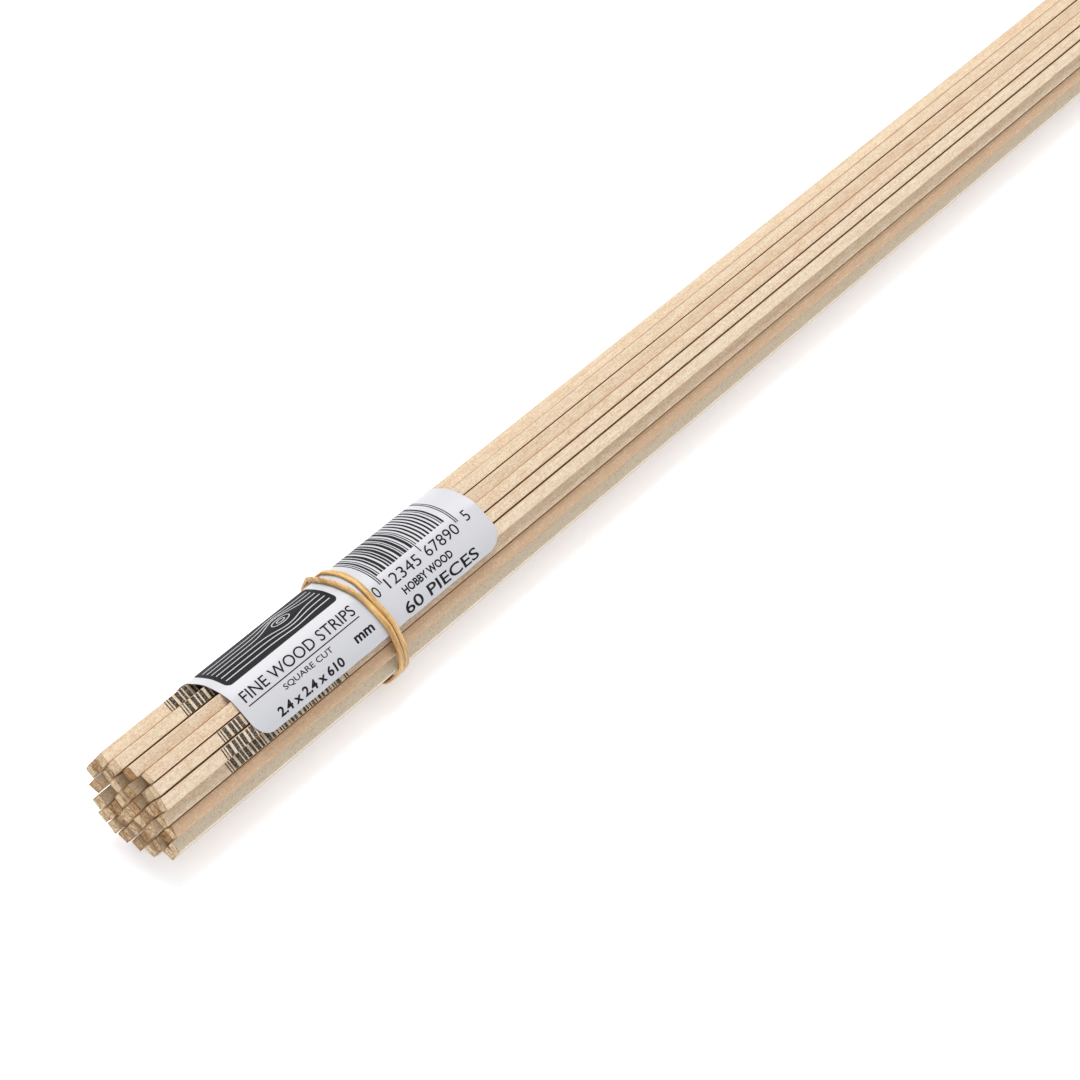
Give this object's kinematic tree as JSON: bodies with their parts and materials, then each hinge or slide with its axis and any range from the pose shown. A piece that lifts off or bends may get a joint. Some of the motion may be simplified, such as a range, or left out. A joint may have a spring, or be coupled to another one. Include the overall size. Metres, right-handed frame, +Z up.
{
  "type": "wood strip bundle",
  "caption": "Round bundle of long square wood strips with staggered ends, wrapped part way round by a paper label and held by doubled rubber bands.",
  "frame": {"origin": "middle of the bundle's length and width, on the bench under its rubber bands", "axes": "+X along the strips, away from the labelled end; +Z up; the label faces up and towards -Y"},
  "size_m": [0.6144, 0.025, 0.0242],
  "materials": {
    "basswood": "sawn and sanded smooth, unfinished",
    "label_paper": "smooth semi-gloss white paper with dark print",
    "band_rubber": "natural rubber, satin"
  },
  "bodies": {
    "wrapped_strips": {"label": "label_paper", "strip_18": "basswood", "strip_21": "basswood", "strip_23": "basswood", "strip_27": "basswood", "strip_30": "basswood", "strip_33": "basswood", "strip_36": "basswood", "strip_37": "basswood"},
    "strip_01": {"strip_01": "basswood"},
    "strip_02": {"strip_02": "basswood"},
    "strip_03": {"strip_03": "basswood"},
    "strip_04": {"strip_04": "basswood"},
    "strip_05": {"strip_05": "basswood"},
    "strip_06": {"strip_06": "basswood"},
    "strip_07": {"strip_07": "basswood"},
    "strip_08": {"strip_08": "basswood"},
    "strip_09": {"strip_09": "basswood"},
    "strip_10": {"strip_10": "basswood"},
    "strip_11": {"strip_11": "basswood"},
    "strip_12": {"strip_12": "basswood"},
    "strip_13": {"strip_13": "basswood"},
    "strip_14": {"strip_14": "basswood"},
    "strip_15": {"strip_15": "basswood"},
    "strip_16": {"strip_16": "basswood"},
    "strip_17": {"strip_17": "basswood"},
    "strip_19": {"strip_19": "basswood"},
    "strip_20": {"strip_20": "basswood"},
    "strip_22": {"strip_22": "basswood"},
    "strip_24": {"strip_24": "basswood"},
    "strip_25": {"strip_25": "basswood"},
    "strip_26": {"strip_26": "basswood"},
    "strip_28": {"strip_28": "basswood"},
    "strip_29": {"strip_29": "basswood"},
    "strip_31": {"strip_31": "basswood"},
    "strip_32": {"strip_32": "basswood"},
    "strip_34": {"strip_34": "basswood"},
    "strip_35": {"strip_35": "basswood"},
    "strip_38": {"strip_38": "basswood"},
    "strip_39": {"strip_39": "basswood"},
    "strip_40": {"strip_40": "basswood"},
    "strip_41": {"strip_41": "basswood"},
    "strip_42": {"strip_42": "basswood"},
    "strip_43": {"strip_43": "basswood"},
    "strip_44": {"strip_44": "basswood"},
    "strip_45": {"strip_45": "basswood"},
    "strip_46": {"strip_46": "basswood"},
    "strip_47": {"strip_47": "basswood"},
    "strip_48": {"strip_48": "basswood"},
    "strip_49": {"strip_49": "basswood"},
    "strip_50": {"strip_50": "basswood"},
    "strip_51": {"strip_51": "basswood"},
    "strip_52": {"strip_52": "basswood"},
    "strip_53": {"strip_53": "basswood"},
    "strip_54": {"strip_54": "basswood"},
    "strip_55": {"strip_55": "basswood"},
    "strip_56": {"strip_56": "basswood"},
    "core_strips": {"core_strips": "basswood"},
    "near_rubber_band": {"near_rubber_band": "band_rubber"},
    "far_rubber_band": {"far_rubber_band": "band_rubber"}
  },
  "joints": [
    {"name": "strip_01_slide", "type": "slide", "parent": "wrapped_strips", "child": "strip_01", "axis": [1, 0, 0], "range_m": [-0.54, 0.54]},
    {"name": "strip_02_slide", "type": "slide", "parent": "wrapped_strips", "child": "strip_02", "axis": [1, 0, 0], "range_m": [-0.54, 0.54]},
    {"name": "strip_03_slide", "type": "slide", "parent": "wrapped_strips", "child": "strip_03", "axis": [1, 0, 0], "range_m": [-0.54, 0.54]},
    {"name": "strip_04_slide", "type": "slide", "parent": "wrapped_strips", "child": "strip_04", "axis": [1, 0, 0], "range_m": [-0.54, 0.54]},
    {"name": "strip_05_slide", "type": "slide", "parent": "wrapped_strips", "child": "strip_05", "axis": [1, 0, 0], "range_m": [-0.54, 0.54]},
    {"name": "strip_06_slide", "type": "slide", "parent": "wrapped_strips", "child": "strip_06", "axis": [1, 0, 0], "range_m": [-0.54, 0.54]},
    {"name": "strip_07_slide", "type": "slide", "parent": "wrapped_strips", "child": "strip_07", "axis": [1, 0, 0], "range_m": [-0.54, 0.54]},
    {"name": "strip_08_slide", "type": "slide", "parent": "wrapped_strips", "child": "strip_08", "axis": [1, 0, 0], "range_m": [-0.54, 0.54]},
    {"name": "strip_09_slide", "type": "slide", "parent": "wrapped_strips", "child": "strip_09", "axis": [1, 0, 0], "range_m": [-0.54, 0.54]},
    {"name": "strip_10_slide", "type": "slide", "parent": "wrapped_strips", "child": "strip_10", "axis": [1, 0, 0], "range_m": [-0.54, 0.54]},
    {"name": "strip_11_slide", "type": "slide", "parent": "wrapped_strips", "child": "strip_11", "axis": [1, 0, 0], "range_m": [-0.54, 0.54]},
    {"name": "strip_12_slide", "type": "slide", "parent": "wrapped_strips", "child": "strip_12", "axis": [1, 0, 0], "range_m": [-0.54, 0.54]},
    {"name": "strip_13_slide", "type": "slide", "parent": "wrapped_strips", "child": "strip_13", "axis": [1, 0, 0], "range_m": [-0.54, 0.54]},
    {"name": "strip_14_slide", "type": "slide", "parent": "wrapped_strips", "child": "strip_14", "axis": [1, 0, 0], "range_m": [-0.54, 0.54]},
    {"name": "strip_15_slide", "type": "slide", "parent": "wrapped_strips", "child": "strip_15", "axis": [1, 0, 0], "range_m": [-0.54, 0.54]},
    {"name": "strip_16_slide", "type": "slide", "parent": "wrapped_strips", "child": "strip_16", "axis": [1, 0, 0], "range_m": [-0.54, 0.54]},
    {"name": "strip_17_slide", "type": "slide", "parent": "wrapped_strips", "child": "strip_17", "axis": [1, 0, 0], "range_m": [-0.54, 0.54]},
    {"name": "strip_19_slide", "type": "slide", "parent": "wrapped_strips", "child": "strip_19", "axis": [1, 0, 0], "range_m": [-0.54, 0.54]},
    {"name": "strip_20_slide", "type": "slide", "parent": "wrapped_strips", "child": "strip_20", "axis": [1, 0, 0], "range_m": [-0.54, 0.54]},
    {"name": "strip_22_slide", "type": "slide", "parent": "wrapped_strips", "child": "strip_22", "axis": [1, 0, 0], "range_m": [-0.54, 0.54]},
    {"name": "strip_24_slide", "type": "slide", "parent": "wrapped_strips", "child": "strip_24", "axis": [1, 0, 0], "range_m": [-0.54, 0.54]},
    {"name": "strip_25_slide", "type": "slide", "parent": "wrapped_strips", "child": "strip_25", "axis": [1, 0, 0], "range_m": [-0.54, 0.54]},
    {"name": "strip_26_slide", "type": "slide", "parent": "wrapped_strips", "child": "strip_26", "axis": [1, 0, 0], "range_m": [-0.54, 0.54]},
    {"name": "strip_28_slide", "type": "slide", "parent": "wrapped_strips", "child": "strip_28", "axis": [1, 0, 0], "range_m": [-0.54, 0.54]},
    {"name": "strip_29_slide", "type": "slide", "parent": "wrapped_strips", "child": "strip_29", "axis": [1, 0, 0], "range_m": [-0.54, 0.54]},
    {"name": "strip_31_slide", "type": "slide", "parent": "wrapped_strips", "child": "strip_31", "axis": [1, 0, 0], "range_m": [-0.54, 0.54]},
    {"name": "strip_32_slide", "type": "slide", "parent": "wrapped_strips", "child": "strip_32", "axis": [1, 0, 0], "range_m": [-0.54, 0.54]},
    {"name": "strip_34_slide", "type": "slide", "parent": "wrapped_strips", "child": "strip_34", "axis": [1, 0, 0], "range_m": [-0.54, 0.54]},
    {"name": "strip_35_slide", "type": "slide", "parent": "wrapped_strips", "child": "strip_35", "axis": [1, 0, 0], "range_m": [-0.54, 0.54]},
    {"name": "strip_38_slide", "type": "slide", "parent": "wrapped_strips", "child": "strip_38", "axis": [1, 0, 0], "range_m": [-0.54, 0.54]},
    {"name": "strip_39_slide", "type": "slide", "parent": "wrapped_strips", "child": "strip_39", "axis": [1, 0, 0], "range_m": [-0.54, 0.54]},
    {"name": "strip_40_slide", "type": "slide", "parent": "wrapped_strips", "child": "strip_40", "axis": [1, 0, 0], "range_m": [-0.54, 0.54]},
    {"name": "strip_41_slide", "type": "slide", "parent": "wrapped_strips", "child": "strip_41", "axis": [1, 0, 0], "range_m": [-0.54, 0.54]},
    {"name": "strip_42_slide", "type": "slide", "parent": "wrapped_strips", "child": "strip_42", "axis": [1, 0, 0], "range_m": [-0.54, 0.54]},
    {"name": "strip_43_slide", "type": "slide", "parent": "wrapped_strips", "child": "strip_43", "axis": [1, 0, 0], "range_m": [-0.54, 0.54]},
    {"name": "strip_44_slide", "type": "slide", "parent": "wrapped_strips", "child": "strip_44", "axis": [1, 0, 0], "range_m": [-0.54, 0.54]},
    {"name": "strip_45_slide", "type": "slide", "parent": "wrapped_strips", "child": "strip_45", "axis": [1, 0, 0], "range_m": [-0.54, 0.54]},
    {"name": "strip_46_slide", "type": "slide", "parent": "wrapped_strips", "child": "strip_46", "axis": [1, 0, 0], "range_m": [-0.54, 0.54]},
    {"name": "strip_47_slide", "type": "slide", "parent": "wrapped_strips", "child": "strip_47", "axis": [1, 0, 0], "range_m": [-0.54, 0.54]},
    {"name": "strip_48_slide", "type": "slide", "parent": "wrapped_strips", "child": "strip_48", "axis": [1, 0, 0], "range_m": [-0.54, 0.54]},
    {"name": "strip_49_slide", "type": "slide", "parent": "wrapped_strips", "child": "strip_49", "axis": [1, 0, 0], "range_m": [-0.54, 0.54]},
    {"name": "strip_50_slide", "type": "slide", "parent": "wrapped_strips", "child": "strip_50", "axis": [1, 0, 0], "range_m": [-0.54, 0.54]},
    {"name": "strip_51_slide", "type": "slide", "parent": "wrapped_strips", "child": "strip_51", "axis": [1, 0, 0], "range_m": [-0.54, 0.54]},
    {"name": "strip_52_slide", "type": "slide", "parent": "wrapped_strips", "child": "strip_52", "axis": [1, 0, 0], "range_m": [-0.54, 0.54]},
    {"name": "strip_53_slide", "type": "slide", "parent": "wrapped_strips", "child": "strip_53", "axis": [1, 0, 0], "range_m": [-0.54, 0.54]},
    {"name": "strip_54_slide", "type": "slide", "parent": "wrapped_strips", "child": "strip_54", "axis": [1, 0, 0], "range_m": [-0.54, 0.54]},
    {"name": "strip_55_slide", "type": "slide", "parent": "wrapped_strips", "child": "strip_55", "axis": [1, 0, 0], "range_m": [-0.54, 0.54]},
    {"name": "strip_56_slide", "type": "slide", "parent": "wrapped_strips", "child": "strip_56", "axis": [1, 0, 0], "range_m": [-0.54, 0.54]},
    {"name": "core_strips_slide", "type": "slide", "parent": "wrapped_strips", "child": "core_strips", "axis": [1, 0, 0], "range_m": [-0.54, 0.54]},
    {"name": "near_rubber_band_slide", "type": "slide", "parent": "wrapped_strips", "child": "near_rubber_band", "axis": [1, 0, 0], "range_m": [-0.051, 0.2]},
    {"name": "far_rubber_band_slide", "type": "slide", "parent": "wrapped_strips", "child": "far_rubber_band", "axis": [1, 0, 0], "range_m": [-0.2, 0.051]}
  ]
}
